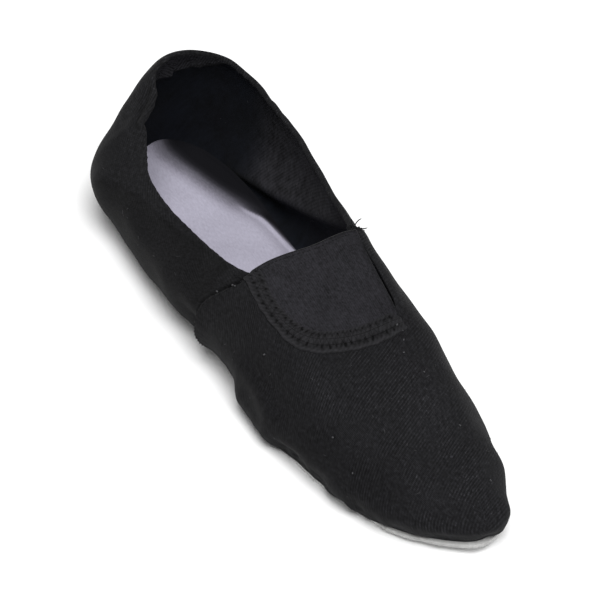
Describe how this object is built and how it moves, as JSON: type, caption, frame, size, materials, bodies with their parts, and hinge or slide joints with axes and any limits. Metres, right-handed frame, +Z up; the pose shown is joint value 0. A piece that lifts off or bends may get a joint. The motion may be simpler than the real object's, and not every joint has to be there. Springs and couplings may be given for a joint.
{
  "type": "gymnastics slipper",
  "caption": "Soft black canvas gymnastics slipper for the right foot, with an elastic gore over the instep, a pale insole and a thin grey suede sole.",
  "frame": {"origin": "bottom centre of the bounding box, on the plane the sole stands on", "axes": "+X from heel to toe, +Y to the medial side of the right foot, +Z up"},
  "size_m": [0.2472, 0.0902, 0.0595],
  "materials": {
    "upper": "matt black cotton twill",
    "elastic_gore": "black woven elastic, slight sheen",
    "insole": "matt pale lilac felt",
    "outsole": "light grey suede"
  },
  "bodies": {
    "root": {"upper": "upper", "elastic_gore": "elastic_gore", "insole": "insole", "outsole": "outsole"}
  },
  "joints": []
}
